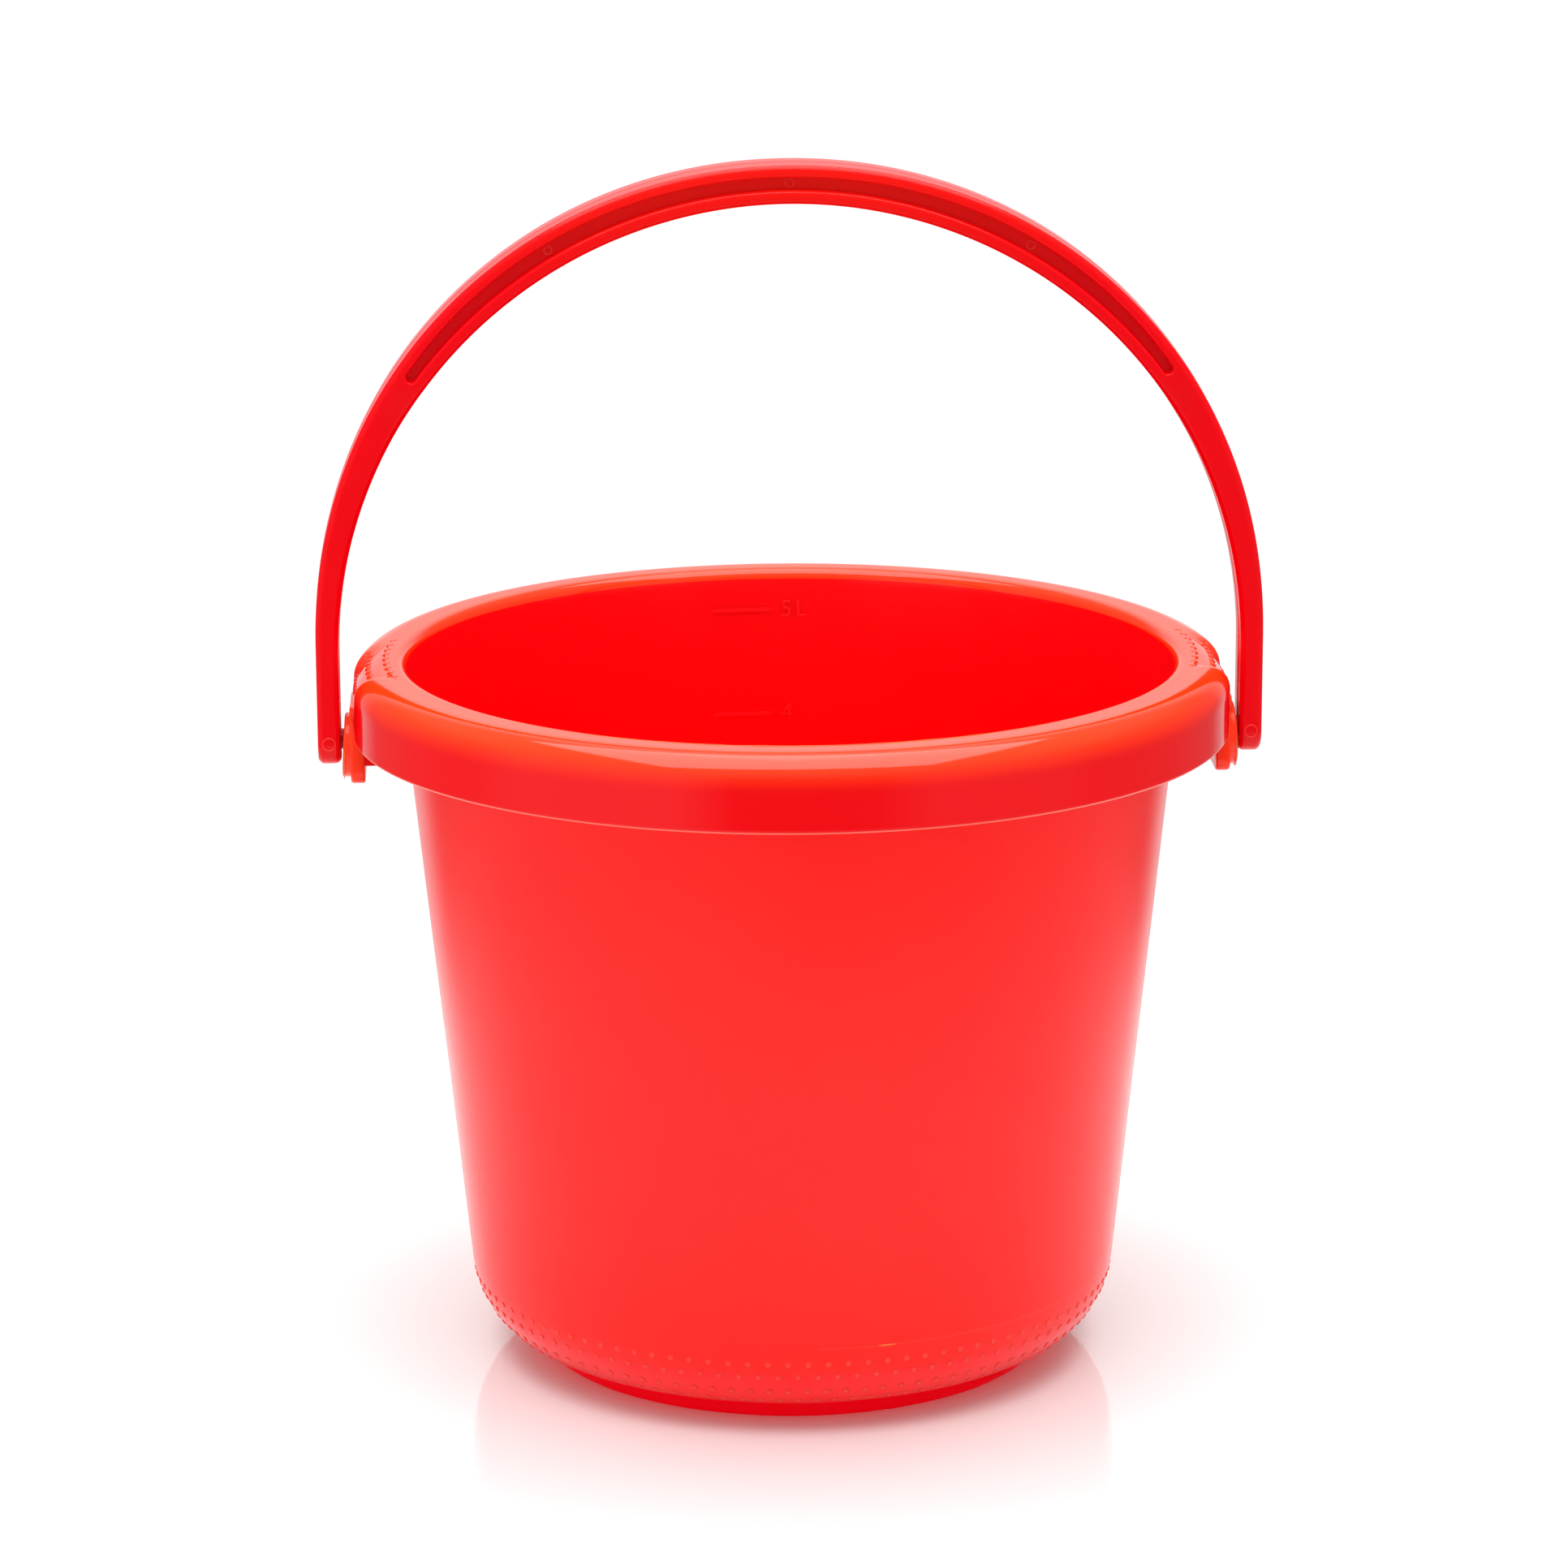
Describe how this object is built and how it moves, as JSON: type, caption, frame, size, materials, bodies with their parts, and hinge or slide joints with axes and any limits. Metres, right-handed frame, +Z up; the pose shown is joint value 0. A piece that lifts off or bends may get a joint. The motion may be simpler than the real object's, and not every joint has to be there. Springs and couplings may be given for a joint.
{
  "type": "sand bucket",
  "caption": "Tapered round plastic pail with a wide turned-down rim, foot ring and a swinging grooved bail handle, for carrying sand or water.",
  "frame": {"origin": "on the floor at the middle of the foot ring", "axes": "+Z up along the pail's axis; +X towards the right-hand ear, along the handle's pivot axis; -Y is the front"},
  "size_m": [0.2582, 0.24, 0.33],
  "materials": {
    "pail_plastic": "glossy moulded polypropylene",
    "rim_plastic": "glossy moulded polypropylene",
    "ear_plastic": "glossy moulded polypropylene, thin and slightly translucent",
    "handle_plastic": "satin-gloss moulded polypropylene"
  },
  "bodies": {
    "pail": {"pail_wall": "pail_plastic", "pail_floor": "pail_plastic", "foot_ring": "pail_plastic", "rim": "rim_plastic", "skirt": "rim_plastic", "ear_left": "ear_plastic", "ear_right": "ear_plastic", "ear_ribs": "ear_plastic", "volume_marks": "pail_plastic"},
    "handle": {"grip": "handle_plastic", "arm_left": "handle_plastic", "arm_right": "handle_plastic", "pivot_pin_left": "handle_plastic", "pivot_pin_right": "handle_plastic"}
  },
  "joints": [
    {"name": "handle_swing", "type": "hinge", "parent": "pail", "child": "handle", "pos_m": [0, 0, 0.173], "axis": [1, 0, 0], "range_deg": [-134, 134]}
  ]
}
